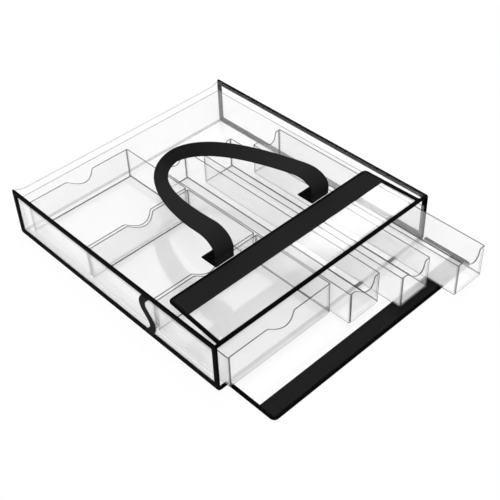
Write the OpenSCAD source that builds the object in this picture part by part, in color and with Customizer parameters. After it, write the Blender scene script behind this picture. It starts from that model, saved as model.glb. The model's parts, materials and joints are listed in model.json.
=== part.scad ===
// Soft clear storage case with three wide trays, three long drawers, two front flaps and a strap handle.
// Millimetres, +Z up, +X to the right along the front, the front faces -Y.
// The origin is the centre of the case's bottom face.

/* [Case] */
// Outside width, left to right
case_w = 322; // [290:1:380]
// Outside depth, front to back
case_d = 349; // [320:1:400]
// Outside height, bindings included
case_h = 64.5; // [50:0.5:80]
// Thickness of the clear vinyl sheets
sheet_t = 1; // [0.6:0.1:1.4]
// Outside radius of the two folds along the back
fold_r = 3; // [2:0.5:8]

/* [Bindings] */
// Thickness over a bound edge: the sheet and a layer of tape on each face
binding_t = 2.6; // [2.2:0.1:3.4]
// Width of the tape round a side panel
side_tape_w = 7; // [3.5:0.5:10]
// Width of the tape along the two front edges
front_tape_w = 4; // [3:0.5:9]
// Radius of the bound corners of a side panel
corner_r = 3; // [2:0.5:4.5]

/* [Liner] */
// Thickness of the liner's walls
liner_t = 2; // [1.2:0.1:3]
// Gap between the liner and the soft case round it
liner_gap = 0.6; // [0.3:0.1:1]
// How far the liner's front edge lies behind the case's front
liner_setback = 2; // [1:0.5:5]
// How far the liner's floor stands above the front binding
floor_step = 1; // [0.2:0.1:2]
// How far the liner's walls end below the trays' rims, or above them if less than zero
rim_step = -3; // [-6:0.5:6]

/* [Trays and drawers] */
// Wall and floor of a tray or drawer
tray_t = 1.6; // [1:0.1:2.5]
// Outside radius of the upright corners
tray_r = 2; // [1.8:0.1:6]
// Room between the rims and the top sheet
head_room = 15.6; // [5:0.1:20]
// Gap between a tray's floor and the liner's floor
slide_gap = 0.3; // [0.2:0.1:0.8]
// Gap between the wide trays and the liner's left wall
side_gap = 3.7; // [0.3:0.1:8]
// Width of a wide tray
wide_w = 147; // [110:1:170]
// Length left over in the lane when the three wide trays are home
lane_spare = 7.5; // [6.5:0.1:20]
// Gap from one wide tray to the next, as they stand
tray_gap = 2.8; // [0.5:0.1:3.2]
// How far the front wide tray stands out of the case
wide_out = 6.2; // [2:0.1:60]
// Gap between the wide trays and the first drawer
lane_gap = 0.8; // [0.4:0.1:4]
// Length of a narrow drawer
drawer_len = 313; // [280:1:334]
// Gap from one narrow drawer to the next
drawer_gap = 8.5; // [1:0.5:12]
// Gap between the last drawer and the liner's right wall
drawer_wall_gap = 2.1; // [0.5:0.1:6]
// How far the left drawer stands out of the case
left_out = 32.5; // [0:0.5:200]
// How far the centre drawer stands out of the case
centre_out = 55; // [0:0.5:200]
// How far the right drawer stands out of the case
right_out = 85; // [0:0.5:200]
// Width of the finger scoop in a narrow drawer's end walls
scoop_w = 34; // [24:1:38]
// Width of the finger scoop in a wide tray's end walls
wide_scoop_w = 41; // [30:1:80]
// Depth of the finger scoops below the rim
scoop_depth = 14; // [8:0.5:24]
// Reach of the round shoulder on either side of a scoop's corner
scoop_shoulder = 2.2; // [1:0.2:4]
// How far a scoop's hollow leans to the right, as a share of its depth
scoop_lean = 0.47; // [-0.5:0.01:0.5]

/* [Flaps] */
// Thickness of the gap round each sewn hinge line
hinge_gap = 0.3; // [0.2:0.1:0.6]
// Width of the tape round a flap
flap_tape_w = 4.5; // [3:0.5:8]
// Width of the tape along the top flap's hinge line
hem_w = 2; // [2:0.5:8]
// Radius of a flap's free corners
flap_corner_r = 6; // [5:0.5:12]
// Length of the top flap from its hinge line
top_flap_len = 78.3; // [50:0.1:90]
// How far the hinged corners of a top flap sewn in the middle lie in from the case's sides
top_root_inset = 9; // [4:0.5:20]
// How far its free corners lie in from the case's sides
top_free_inset = 12.5; // [4:0.5:30]
// How far the top flap is sewn to the right of the middle, or to the left if less than zero
top_flap_shift = -5.5; // [-8:0.5:8]
// How far the top flap's hinge line lies behind the front
top_hinge_setback = 1; // [1:0.1:4]
// How far the top flap's free edge is raised, as it lies folded back
top_flap_lift = 1.6; // [0.5:0.1:12]
// Width of the hook strip on the top flap
hook_w = 25; // [12:0.5:32]
// Length of the front flap from its hinge line
front_flap_len = 64.8; // [50:0.1:90]
// Width of the front flap
front_flap_w = 313; // [240:1:320]
// How far the front flap is sewn to the right of the middle
front_flap_shift = 7; // [0:0.5:8]
// Width of the loop strip on the front flap
loop_w = 20; // [12:0.5:32]

/* [Handle] */
// Width of the webbing at the handle's legs
strap_w = 25; // [18:0.5:38]
// Width of the webbing where it is drawn in at the grip
grip_w = 16; // [12:0.5:25]
// Thickness of the webbing
strap_t = 1.5; // [1:0.1:1.7]
// Distance between the middles of the two sewn ends
handle_spread = 145; // [100:1:200]
// Length of each end sewn down on the top sheet
tab_len = 24; // [15:1:40]
// Gap between the handle's legs and the top flap's free edge
handle_gap = 3.4; // [1.5:0.1:8]
// Height of the legs' bending line above the top flap's free edge
bend_over = 2.5; // [2:0.1:12]
// Gap left in the webbing at the bending line
bend_gap = 0.95; // [0.9:0.05:1.2]
// How far each leg rises before it turns back
leg_stand = 14; // [10:0.5:20]
// How far each leg leans forward as it rises
leg_lean = 3; // [0:0.5:6]
// How far behind the bending line the curl of a leg ends
curl_reach = 32.7; // [25:0.1:45]
// Rise of the curl's end above the bending line
curl_rise = 21; // [16:0.5:30]
// How far each leg draws in over its curl
leg_draw = 3.5; // [0:0.5:10]
// Length that each leg holds its heading behind the curl
leg_run = 46.7; // [30:0.1:60]
// How far the leg falls over that length
leg_fall = 8; // [0:0.5:12]
// Reach of the loop behind the bending line, as it lies back
handle_reach = 163.5; // [140:0.5:200]
// Height of the grip above the bending line, as it lies back
grip_rise = 8; // [4:0.5:16]
// Half width of the grip's bow
grip_bow = 52; // [35:1:70]
// How far the sides of the bow hang below its middle
grip_sag = 5; // [0:0.5:8]
// Turn of the webbing onto its edge at the grip
grip_twist = 65; // [0:1:75]

/* [Side ribbon] */
// Width of the ribbon on the left side panel
ribbon_w = 9; // [5:0.5:14]
// Thickness of the ribbon
ribbon_t = 1.2; // [0.6:0.1:2]
// Place of the ribbon along the side, from the middle of the case
ribbon_y = -66.5; // [-120:0.5:120]
// How far the slack ribbon sways to each side
ribbon_sway = 7; // [0:0.5:14]

/* [Hidden] */
$fn = 48;
// Clearance that cutting shapes run past a face
cut = 1;
// Least radius of a flap's corner inside its tape
least_r = 1;

vinyl_colour = [0.93, 0.94, 0.95, 0.35];
liner_colour = [0.90, 0.92, 0.94, 0.35];
tray_colour = [0.88, 0.90, 0.92, 0.45];
tape_colour = [0.03, 0.03, 0.03];
webbing_colour = [0.12, 0.12, 0.12];

// Faces of the soft case
tape_t = (binding_t - sheet_t) / 2;
front_y = -case_d / 2;
back_y = case_d / 2 - tape_t;
sheet_front_y = front_y + tape_t;
top_z = case_h - tape_t;
wrap_hw = case_w / 2 - binding_t;
panel_x = case_w / 2 - tape_t - sheet_t;

// Faces of the liner
liner_hw = wrap_hw - liner_gap;
liner_in_hw = liner_hw - liner_t;
liner_back_y = back_y - sheet_t - liner_gap;
liner_in_back_y = liner_back_y - liner_t;
liner_front_y = front_y + liner_setback;
liner_edge_r = fold_r - sheet_t - liner_gap;
floor_z = binding_t + floor_step;

// Places of the trays and drawers
tray_z = floor_z + slide_gap;
rim_z = top_z - sheet_t - head_room;
tray_h = rim_z - tray_z;
wide_x = side_gap - liner_in_hw;
wide_len = (liner_in_back_y - liner_front_y - lane_spare) / 3;
wide_y = front_y - wide_out;
wide_pitch = wide_len + tray_gap;
drawer_x = wide_x + wide_w + lane_gap;
drawer_w = (liner_in_hw - drawer_wall_gap - drawer_x - 2 * drawer_gap) / 3;
drawer_pitch = drawer_w + drawer_gap;

// Hinge lines of the flaps
bead_r = binding_t / 2;
top_hinge_y = front_y + top_hinge_setback;
top_hinge_z = case_h + hinge_gap + bead_r;
top_tilt = asin(top_flap_lift / top_flap_len);
top_root_hw = case_w / 2 - top_root_inset;
top_free_hw = case_w / 2 - top_free_inset;
front_hinge_y = front_y - hinge_gap - bead_r;

// Bending line of the handle
bend_y = top_hinge_y + top_flap_len * cos(top_tilt) + handle_gap;
bend_z = top_hinge_z + top_flap_lift + bead_r + bend_over;
leg_x = handle_spread / 2;

// Draws a profile of the case's side view, which lies in the YZ plane, and gives it a length along X
module along_x(length) {
    rotate([90, 0, 90]) linear_extrude(height = length) children();
}

// Rectangle with a corner at the origin and round corners
module round_rect(w, l, r) {
    translate([r, 0]) square([w - 2 * r, l]);
    translate([0, r]) square([w, l - 2 * r]);
    for (x = [r, w - r], y = [r, l - r]) translate([x, y]) circle(r);
}

// Rectangle from one corner to the other whose two back corners are round
module back_round_rect(y0, z0, y1, z1, r) {
    translate([y0, z0]) square([y1 - y0 - r, z1 - z0]);
    translate([y0, z0 + r]) square([y1 - y0, z1 - z0 - 2 * r]);
    for (z = [z0 + r, z1 - r]) translate([y1 - r, z]) circle(r);
}

// Outline of a side panel drawn in from the case's edges
module side_outline(inset, r) {
    translate([front_y + inset, inset]) round_rect(case_d - 2 * inset, case_h - 2 * inset, r);
}

// One sheet that is the bottom, the back and the top, folded along the back
module wrap_sheet() {
    color(vinyl_colour)
    translate([-wrap_hw, 0, 0]) along_x(2 * wrap_hw) difference() {
        back_round_rect(sheet_front_y, 0, back_y, top_z, fold_r);
        back_round_rect(sheet_front_y - cut, sheet_t, back_y - sheet_t, top_z - sheet_t, fold_r - sheet_t);
    }
}

// Clear end of the case at the right, and its mirror image at the left
module side_panel() {
    translate([panel_x, 0, 0]) along_x(sheet_t) side_outline(tape_t, corner_r - tape_t);
}

// Folded tape that binds all four edges of a side panel
module side_binding() {
    difference() {
        translate([wrap_hw, 0, 0]) along_x(binding_t) difference() {
            side_outline(0, corner_r);
            side_outline(side_tape_w, corner_r / 2);
        }
        side_panel();
    }
}

module side_panel_right() {
    color(vinyl_colour) side_panel();
}

module side_panel_left() {
    color(vinyl_colour) mirror([1, 0, 0]) side_panel();
}

module side_binding_right() {
    color(tape_colour) side_binding();
}

module side_binding_left() {
    color(tape_colour) mirror([1, 0, 0]) side_binding();
}

// Tape folded over a front edge of the wrap, with a round nose
module front_binding(z) {
    translate([-wrap_hw, 0, 0]) along_x(2 * wrap_hw) {
        translate([front_y + bead_r, z]) square([front_tape_w - bead_r, binding_t]);
        translate([front_y + bead_r, z + bead_r]) circle(bead_r);
    }
}

module front_top_binding() {
    color(tape_colour) difference() {
        front_binding(case_h - binding_t);
        wrap_sheet();
    }
}

module front_bottom_binding() {
    color(tape_colour) difference() {
        front_binding(0);
        wrap_sheet();
    }
}

// Side view of the liner's body, its lower back edge round so that it lies in the wrap's fold
module liner_profile() {
    low = sheet_t + liner_edge_r;
    inner_y = liner_back_y - liner_edge_r;
    translate([liner_front_y, low]) square([liner_back_y - liner_front_y, rim_z - rim_step - low]);
    translate([liner_front_y, sheet_t]) square([inner_y - liner_front_y, liner_edge_r]);
    translate([inner_y, low]) circle(liner_edge_r);
}

// Rigid clear tray that lines the case: a floor, two sides and a back, rebated over the front binding
module liner_box() {
    length = liner_back_y - liner_front_y;
    color(liner_colour) difference() {
        intersection() {
            translate([-liner_hw, liner_front_y, 0]) linear_extrude(height = case_h)
                round_rect(2 * liner_hw, length, fold_r);
            translate([-liner_hw - cut, 0, 0]) along_x(2 * (liner_hw + cut)) liner_profile();
        }
        translate([-liner_in_hw, liner_front_y - cut, floor_z])
            cube([2 * liner_in_hw, length - liner_t + cut, case_h]);
        translate([-liner_hw - cut, liner_front_y - cut, 0])
            cube([2 * (liner_hw + cut), front_y + front_tape_w + liner_gap - liner_front_y + cut, floor_z]);
    }
}

// Half of a finger scoop's edge before it leans, from the lowest point of its hollow to the rim line at zero:
// the hollow is a parabola, and a round shoulder takes it over into the rim
function scoop_edge(w, hollow_steps = 10, shoulder_steps = 5) =
    let (
        corner = w / 2 - scoop_shoulder,
        tip = corner - scoop_shoulder,
        tip_z = -scoop_depth * (1 - tip * tip / (corner * corner)),
        turn_x = tip - tip_z * corner * corner / (2 * scoop_depth * tip)
    )
    concat(
        [for (i = [0:hollow_steps])
            let (x = tip * i / hollow_steps)
            [x, -scoop_depth * (1 - x * x / (corner * corner))]],
        [for (i = [1:shoulder_steps])
            let (t = i / shoulder_steps, s = 1 - t)
            [s * s * tip + 2 * s * t * turn_x + t * t * w / 2, s * s * tip_z]]
    );

// Finger scoop in an end wall, seen from the front
module scoop_outline(w) {
    edge = scoop_edge(w);
    polygon(concat(
        [for (p = edge) [p.x - scoop_lean * p.y, p.y]],
        [[w / 2, cut], [-w / 2, cut]],
        [for (i = [len(edge) - 1:-1:1]) [-edge[i].x - scoop_lean * edge[i].y, edge[i].y]]
    ));
}

// Open moulded box with a scoop in its front and back walls, its front left corner at the origin
module open_box(w, l, scoop) {
    difference() {
        linear_extrude(height = tray_h) round_rect(w, l, tray_r);
        translate([tray_t, tray_t, tray_t]) linear_extrude(height = tray_h)
            round_rect(w - 2 * tray_t, l - 2 * tray_t, tray_r - tray_t / 2);
        translate([w / 2, l + cut, tray_h]) rotate([90, 0, 0]) linear_extrude(height = l + 2 * cut)
            scoop_outline(scoop);
    }
}

// Wide tray at a place in the left lane, counted from the front
module wide_tray(place) {
    color(tray_colour)
    translate([wide_x, wide_y + place * wide_pitch, tray_z]) open_box(wide_w, wide_len, wide_scoop_w);
}

module tray_front() {
    wide_tray(0);
}

module tray_middle() {
    wide_tray(1);
}

module tray_rear() {
    wide_tray(2);
}

// Narrow drawer in one of the three right lanes, counted from the left
module drawer(lane, out) {
    color(tray_colour)
    translate([drawer_x + lane * drawer_pitch, front_y - out, tray_z])
        open_box(drawer_w, drawer_len, min(scoop_w, drawer_w - 4 * tray_t));
}

module drawer_left() {
    drawer(0, left_out);
}

module drawer_centre() {
    drawer(1, centre_out);
}

module drawer_right() {
    drawer(2, right_out);
}

// Outline of a flap with its hinge line along X at the origin: straight sides that draw in, round free corners.
// It can be drawn in by an inset on its three free sides.
function flap_outline(length, root_hw, free_hw, inset, arc_steps = 8) =
    let (
        lean = atan((root_hw - free_hw) / length),
        r = max(flap_corner_r - inset, least_r),
        top = length - inset,
        side = inset / cos(lean),
        centre_y = top - r,
        centre_x = root_hw - side - (root_hw - free_hw) * centre_y / length - r / cos(lean),
        corner = [for (i = [0:arc_steps])
            let (angle = lean + (90 - lean) * i / arc_steps)
            [centre_x + r * cos(angle), centre_y + r * sin(angle)]]
    )
    concat(
        [[-root_hw + side, 0], [root_hw - side, 0]],
        corner,
        [for (i = [arc_steps:-1:0]) [-corner[i][0], corner[i][1]]]
    );

// Clear sheet of a flap, its edges inside the tape
module flap_sheet(length, root_hw, free_hw) {
    translate([0, 0, -sheet_t / 2]) linear_extrude(height = sheet_t)
        polygon(flap_outline(length, root_hw, free_hw, tape_t));
}

// Tape round a flap's free sides, and the rolled hem on its hinge line
module flap_binding(length, root_hw, free_hw, hem) {
    difference() {
        union() {
            translate([0, 0, -bead_r]) linear_extrude(height = binding_t) difference() {
                polygon(flap_outline(length, root_hw, free_hw, 0));
                translate([0, hem]) polygon(flap_outline(
                    length - hem, root_hw - (root_hw - free_hw) * hem / length, free_hw, flap_tape_w
                ));
            }
            translate([-root_hw, 0, 0]) rotate([0, 90, 0]) cylinder(h = 2 * root_hw, r = bead_r);
        }
        flap_sheet(length, root_hw, free_hw);
    }
}

// Hook-and-loop strip on the upper face of a flap, along its free edge
module flap_strip(length, root_hw, free_hw, width) {
    translate([0, 0, sheet_t / 2]) linear_extrude(height = tape_t) intersection() {
        polygon(flap_outline(length, root_hw, free_hw, flap_tape_w));
        translate([-root_hw, length - flap_tape_w - width]) square([2 * root_hw, width]);
    }
}

// Takes a flap drawn at the origin to the top front edge, where it lies folded back over the case
module at_top_hinge() {
    translate([top_flap_shift, top_hinge_y, top_hinge_z]) rotate([top_tilt, 0, 0]) children();
}

// Takes a flap drawn at the origin to the bottom front edge, where it lies out in front of the case
module at_front_hinge() {
    translate([front_flap_shift, front_hinge_y, bead_r]) mirror([0, 1, 0]) children();
}

module top_flap() {
    color(vinyl_colour) at_top_hinge() flap_sheet(top_flap_len, top_root_hw, top_free_hw);
}

module top_flap_binding() {
    color(tape_colour) at_top_hinge() flap_binding(top_flap_len, top_root_hw, top_free_hw, hem_w);
}

module hook_strip() {
    color(webbing_colour) at_top_hinge() flap_strip(top_flap_len, top_root_hw, top_free_hw, hook_w);
}

module front_flap() {
    color(vinyl_colour) at_front_hinge() flap_sheet(front_flap_len, front_flap_w / 2, front_flap_w / 2);
}

module front_flap_binding() {
    color(tape_colour) at_front_hinge() flap_binding(front_flap_len, front_flap_w / 2, front_flap_w / 2, bead_r);
}

module loop_strip() {
    color(webbing_colour) at_front_hinge() flap_strip(front_flap_len, front_flap_w / 2, front_flap_w / 2, loop_w);
}

// End of the handle's webbing: sewn flat on the top sheet, then turned up at its front
module handle_tab(side) {
    color(webbing_colour)
    translate([side * leg_x - strap_w / 2, 0, 0]) along_x(strap_w) {
        translate([bend_y - strap_t / 2, top_z]) square([tab_len, strap_t]);
        translate([bend_y - strap_t / 2, top_z]) square([strap_t, bend_z - bend_gap - top_z]);
    }
}

module handle_tab_left() {
    handle_tab(-1);
}

module handle_tab_right() {
    handle_tab(1);
}

// Right half of the handle as two curves from the bending line: a curl that turns the leg back, then the leg to the grip
leg_heading = [-leg_draw, leg_run, -leg_fall];
curl_end = [leg_x - leg_draw, curl_reach, curl_rise];
curl = [
    [leg_x, 0, 0],
    [leg_x, -leg_lean, leg_stand],
    curl_end - leg_heading / 2,
    curl_end
];
leg = [
    curl_end,
    curl_end + leg_heading,
    [grip_bow, handle_reach, grip_rise - grip_sag],
    [0, handle_reach, grip_rise]
];
function bezier(p, t) =
    pow(1 - t, 3) * p[0] + 3 * t * pow(1 - t, 2) * p[1] + 3 * t * t * (1 - t) * p[2] + pow(t, 3) * p[3];
function heading(p, t) =
    pow(1 - t, 2) * (p[1] - p[0]) + 2 * t * (1 - t) * (p[2] - p[1]) + t * t * (p[3] - p[2]);
function unit(v) = v / norm(v);
function ease(t) = t * t * (3 - 2 * t);

// Corners of the webbing's section: a middle point, the direction across the webbing, its heading and its width
function section(centre, across, ahead, width) =
    let (face = cross(across, ahead))
    [for (c = [[1, 1], [-1, 1], [-1, -1], [1, -1]])
        centre + c[0] * width / 2 * across + c[1] * strap_t / 2 * face];
function curl_section(t) =
    let (ahead = unit(heading(curl, t)))
    section(bezier(curl, t), unit([1, 0, 0] - ahead[0] * ahead), ahead, strap_w);
function leg_section(t) =
    let (
        ahead = unit(heading(leg, t)),
        level = unit([ahead[1], -ahead[0], 0]),
        twist = grip_twist * t * t
    )
    section(
        bezier(leg, t), cos(twist) * level + sin(twist) * cross(level, ahead), ahead,
        strap_w + (grip_w - strap_w) * ease(t)
    );

// Webbing loop that lies back over the top and lifts about its bending line
module handle_strap() {
    curl_steps = 8;
    leg_steps = 16;
    half = concat(
        [for (i = [0:curl_steps - 1]) curl_section(i / curl_steps)],
        [for (i = [0:leg_steps]) leg_section(i / leg_steps)]
    );
    last = len(half) - 1;
    rings = concat(half, [for (i = [last - 1:-1:0]) [for (p = half[i]) [-p[0], p[1], p[2]]]]);
    end = 4 * (len(rings) - 1);
    sides = [for (i = [0:len(rings) - 2], k = [0:3], upper = [0, 1])
        let (a = 4 * i + k, b = 4 * i + (k + 1) % 4)
        upper == 0 ? [a, b, b + 4] : [a, b + 4, a + 4]];
    ends = [[3, 2, 1], [3, 1, 0], [end, end + 1, end + 2], [end, end + 2, end + 3]];
    color(webbing_colour)
    translate([0, bend_y, bend_z])
        polyhedron(points = [for (ring = rings) each ring], faces = concat(sides, ends));
}

// Slack ribbon sewn under the tape at the top and bottom of the left side, swaying once each way
module side_ribbon() {
    steps = 24;
    low = side_tape_w;
    high = case_h - side_tape_w;
    wave = [for (i = [0:steps])
        let (
            z = low + (high - low) * i / steps,
            turn = 360 * (high - z) / (high - low),
            slope = -ribbon_sway * cos(turn) * 2 * PI / (high - low)
        )
        [ribbon_y + ribbon_sway * sin(turn), z, ribbon_w / 2 * sqrt(1 + slope * slope)]];
    color(webbing_colour)
    translate([-panel_x - sheet_t - ribbon_t, 0, 0]) along_x(ribbon_t)
        polygon(concat(
            [for (p = wave) [p[0] - p[2], p[1]]],
            [for (i = [steps:-1:0]) [wave[i][0] + wave[i][2], wave[i][1]]]
        ));
}

wrap_sheet();
side_panel_left();
side_panel_right();
side_binding_left();
side_binding_right();
front_top_binding();
front_bottom_binding();
liner_box();
side_ribbon();
handle_tab_left();
handle_tab_right();
handle_strap();
top_flap();
top_flap_binding();
hook_strip();
front_flap();
front_flap_binding();
loop_strip();
tray_front();
tray_middle();
tray_rear();
drawer_left();
drawer_centre();
drawer_right();
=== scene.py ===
# Soft clear storage case with sliding trays and drawers, dressed round its fixed frame.
# Lengths are in metres, +Z is up, and the front with its flaps faces -Y.
import json
import math

import bmesh
import bpy
from mathutils import Matrix, Vector, noise


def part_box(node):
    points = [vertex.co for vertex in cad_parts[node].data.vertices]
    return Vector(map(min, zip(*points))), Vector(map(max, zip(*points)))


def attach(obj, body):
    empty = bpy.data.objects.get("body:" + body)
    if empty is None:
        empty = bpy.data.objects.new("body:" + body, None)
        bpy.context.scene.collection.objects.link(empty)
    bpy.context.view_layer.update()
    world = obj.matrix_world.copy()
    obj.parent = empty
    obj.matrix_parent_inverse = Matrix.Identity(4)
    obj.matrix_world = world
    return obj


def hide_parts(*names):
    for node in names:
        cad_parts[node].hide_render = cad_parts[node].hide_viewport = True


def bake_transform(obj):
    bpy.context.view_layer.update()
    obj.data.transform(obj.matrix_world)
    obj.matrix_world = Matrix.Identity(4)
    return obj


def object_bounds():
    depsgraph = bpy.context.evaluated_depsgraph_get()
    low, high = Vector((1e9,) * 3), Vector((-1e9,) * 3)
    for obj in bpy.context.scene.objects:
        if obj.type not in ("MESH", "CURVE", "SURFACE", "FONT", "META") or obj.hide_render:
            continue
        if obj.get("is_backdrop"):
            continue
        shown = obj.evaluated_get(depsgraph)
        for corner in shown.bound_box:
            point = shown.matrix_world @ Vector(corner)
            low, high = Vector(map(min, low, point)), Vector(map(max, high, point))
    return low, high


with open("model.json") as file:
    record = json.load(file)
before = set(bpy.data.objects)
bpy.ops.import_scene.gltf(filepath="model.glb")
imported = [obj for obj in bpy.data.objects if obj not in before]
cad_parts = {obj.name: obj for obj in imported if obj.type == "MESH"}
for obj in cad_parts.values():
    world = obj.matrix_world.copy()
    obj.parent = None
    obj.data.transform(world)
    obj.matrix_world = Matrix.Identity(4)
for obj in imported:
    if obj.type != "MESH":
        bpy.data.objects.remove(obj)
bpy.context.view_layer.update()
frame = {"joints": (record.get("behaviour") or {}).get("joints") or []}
MM = 0.001

# Wrap: one sheet of clear vinyl that is the bottom, the back and the top of the case.
# It is cut flat and folded twice along the back. Nothing carries the top, so it sags behind the handle,
# and its fold hangs a little lower than the taped ends that hold it up.
wrap_low, wrap_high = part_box("wrap_sheet")
SHEET = 1.0 * MM
FOLD_R = 3.0 * MM
TOP_SAG = 1.4 * MM
SAG_FRONT = -60 * MM
SAG_UNEVEN = 0.25
SAG_WAVES = 28
FOLD_DROP = 3.5 * MM
DROP_FRONT = 90 * MM
DROP_SIDE = 14 * MM
VINYL_TONE = 0.95
VINYL_HAZE = 0.03
WRAP_HAZE = 0.015
WRAP_GLOSS = 0.5
FOLD_SHADE_TONE = 0.3
FOLD_SHADE_HAZE = 0.3
CLOUD_SCALE = 14
CLOUD_LEAST = 0.85
CLOUD_SWING = 0.3
RIPPLE_SCALE = 22
RIPPLE_HEIGHT = 1 * MM
PLASTIC_IOR = 1.45
FOLD_STEPS = 6
TOP_STEPS = 40
BACK_STEPS = 6
MIDDLE_STEPS = 24
END_STEPS = 6


class Shade:
    """A shader socket that Python's operators work on: each of them adds a Math node."""

    def __init__(self, tree, socket=None):
        self.tree = tree
        self.socket = socket

    def node(self, kind, settings=None, sockets=None, output=0):
        """Adds a node of any kind. Its settings are set first, then the values or links of its sockets."""
        made = self.tree.nodes.new(kind)
        for name, value in (settings or {}).items():
            if name == "stops":
                for stop, (place, colour) in zip(made.color_ramp.elements, value):
                    stop.position = place
                    stop.color = colour
            else:
                setattr(made, name, value)
        for name, value in (sockets or {}).items():
            if isinstance(value, Shade):
                self.tree.links.new(value.socket, made.inputs[name])
            else:
                made.inputs[name].default_value = value
        return Shade(self.tree, made.outputs[output] if len(made.outputs) else None)

    def math(self, operation, first, second):
        return self.node("ShaderNodeMath", {"operation": operation}, {0: first, 1: second})

    def __add__(self, other):
        return self.math("ADD", self, other)

    __radd__ = __add__

    def __sub__(self, other):
        return self.math("SUBTRACT", self, other)

    def __rsub__(self, other):
        return self.math("SUBTRACT", other, self)

    def __mul__(self, other):
        return self.math("MULTIPLY", self, other)

    __rmul__ = __mul__


def grey(tone):
    return (tone, tone, tone, 1)


def new_finish(name):
    finish = bpy.data.materials.new(name)
    finish.use_nodes = True
    finish.node_tree.nodes.clear()
    return finish, Shade(finish.node_tree)


def clear_plastic(name, tone, haze, roughness, gloss=1.0, ripple=0.0):
    """Clear plastic with a faint cloudy haze in it, and a shine that grows where it is seen edge on."""
    finish, shade = new_finish(name)
    place = shade.node("ShaderNodeTexCoord", output="Object")
    cloud = shade.node("ShaderNodeTexNoise", None, {"Vector": place, "Scale": CLOUD_SCALE, "Detail": 3})
    wave = shade.node("ShaderNodeTexNoise", None, {"Vector": place, "Scale": RIPPLE_SCALE, "Detail": 1})
    normal = shade.node("ShaderNodeBump", None, {
        "Height": wave, "Strength": ripple, "Distance": RIPPLE_HEIGHT,
    })
    body = shade.node("ShaderNodeBsdfPrincipled", None, {
        "Base Color": grey(tone), "Roughness": roughness, "Normal": normal,
        "Alpha": haze * (CLOUD_LEAST + CLOUD_SWING * cloud),
    })
    shine = shade.node("ShaderNodeBsdfPrincipled", None, {
        "Base Color": grey(1), "Metallic": 1, "Roughness": roughness, "Normal": normal,
    })
    edge_on = shade.node("ShaderNodeFresnel", None, {"IOR": PLASTIC_IOR})
    outside = 1 - shade.node("ShaderNodeNewGeometry", output="Backfacing")
    surface = shade.node("ShaderNodeMixShader", None, {0: gloss * edge_on * outside, 1: body, 2: shine})
    shade.node("ShaderNodeOutputMaterial", None, {"Surface": surface})
    return finish


def link(name, mesh, finishes, body, stands_for):
    """Puts a mesh into the scene with its finishes, its body and the nodes it stands for."""
    for finish in finishes:
        mesh.materials.append(finish)
    made = bpy.data.objects.new(name, mesh)
    bpy.context.scene.collection.objects.link(made)
    if body:
        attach(made, body)
    if stands_for:
        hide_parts(*stands_for)
    return made


def sheet(name, rows, finishes, body, slot, *stands_for, tint=None):
    """A thin sheet over an open grid of points, with its cut edge in the last finish."""
    wide = len(rows[0])
    points = [point for row in rows for point in row]
    cells = [(a, b) for a in range(len(rows) - 1) for b in range(wide - 1)]
    faces = [
        (a * wide + b, a * wide + b + 1, (a + 1) * wide + b + 1, (a + 1) * wide + b)
        for a, b in cells
    ]
    mesh = bpy.data.meshes.new(name)
    mesh.from_pydata(points, [], faces)
    mesh.shade_smooth()
    if tint:
        for face, (a, b) in zip(mesh.polygons, cells):
            face.material_index = tint(a, b)
    made = link(name, mesh, finishes, body, stands_for)
    solid = made.modifiers.new("thickness", "SOLIDIFY")
    solid.thickness = SHEET
    solid.offset = 0
    solid.material_offset_rim = len(finishes) - 1


def spread(first, last, steps):
    return [first + (last - first) * i / steps for i in range(steps + 1)]


def arc(y, z, radius, start, stop, steps):
    turns = [math.radians(turn) for turn in spread(start, stop, steps)]
    return [(y + radius * math.cos(turn), z + radius * math.sin(turn)) for turn in turns]


def ease(share):
    return share * share * (3 - 2 * share)


def top_sag(x, y):
    """How far the top hangs down behind the handle, a little unevenly."""
    across = 1 - (x / wrap_high.x) ** 2
    behind = max(0, y - SAG_FRONT) / (wrap_high.y - SAG_FRONT)
    uneven = SAG_UNEVEN * noise.noise(Vector((x, y, 0)) * SAG_WAVES)
    return -TOP_SAG * across * math.sin(math.pi * behind) ** 2 * (1 + uneven)


def fold_drop(x, y, z):
    """How far the sheet hangs down near the upper fold: nothing at the ends, the front and the bottom."""
    side = ease(min(1, (wrap_high.x - abs(x)) / DROP_SIDE))
    behind = ease(min(1, max(0, y - DROP_FRONT) / (bend_y - DROP_FRONT)))
    return -FOLD_DROP * side * behind * (z - wrap_low.z) / (wrap_high.z - wrap_low.z)


vinyl = clear_plastic("clear_vinyl", VINYL_TONE, VINYL_HAZE, roughness=0.08, ripple=0.04)
wrap_vinyl = clear_plastic(
    "wrap_vinyl", VINYL_TONE, WRAP_HAZE, roughness=0.12, gloss=WRAP_GLOSS, ripple=0.04
)
# The folds and cut edges of the vinyl get a darker, less clear finish: painted shade for the dark look of
# clear vinyl seen edge on.
vinyl_edge_shade = clear_plastic("vinyl_edge_shade", FOLD_SHADE_TONE, FOLD_SHADE_HAZE, roughness=0.15, ripple=0.1)
top_z = wrap_high.z - SHEET / 2
bottom_z = wrap_low.z + SHEET / 2
bend_y = wrap_high.y - FOLD_R
bend_r = FOLD_R - SHEET / 2
upper_z = wrap_high.z - FOLD_R
lower_z = wrap_low.z + FOLD_R
top_run = [(y, top_z) for y in spread(wrap_low.y, bend_y, TOP_STEPS)]
upper_bend = arc(bend_y, upper_z, bend_r, 90, 0, FOLD_STEPS)
back_run = [(bend_y + bend_r, z) for z in spread(upper_z, lower_z, BACK_STEPS)]
lower_bend = arc(bend_y, lower_z, bend_r, 0, -90, FOLD_STEPS)
bottom_run = [(y, bottom_z) for y in spread(bend_y, wrap_low.y, TOP_STEPS)]
wrap_profile = top_run + upper_bend[1:] + back_run[1:] + lower_bend[1:] + bottom_run[1:]
near_end = wrap_high.x - DROP_SIDE
wrap_across = (
    spread(-wrap_high.x, -near_end, END_STEPS)[:-1]
    + spread(-near_end, near_end, MIDDLE_STEPS)
    + spread(near_end, wrap_high.x, END_STEPS)[1:]
)
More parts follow.
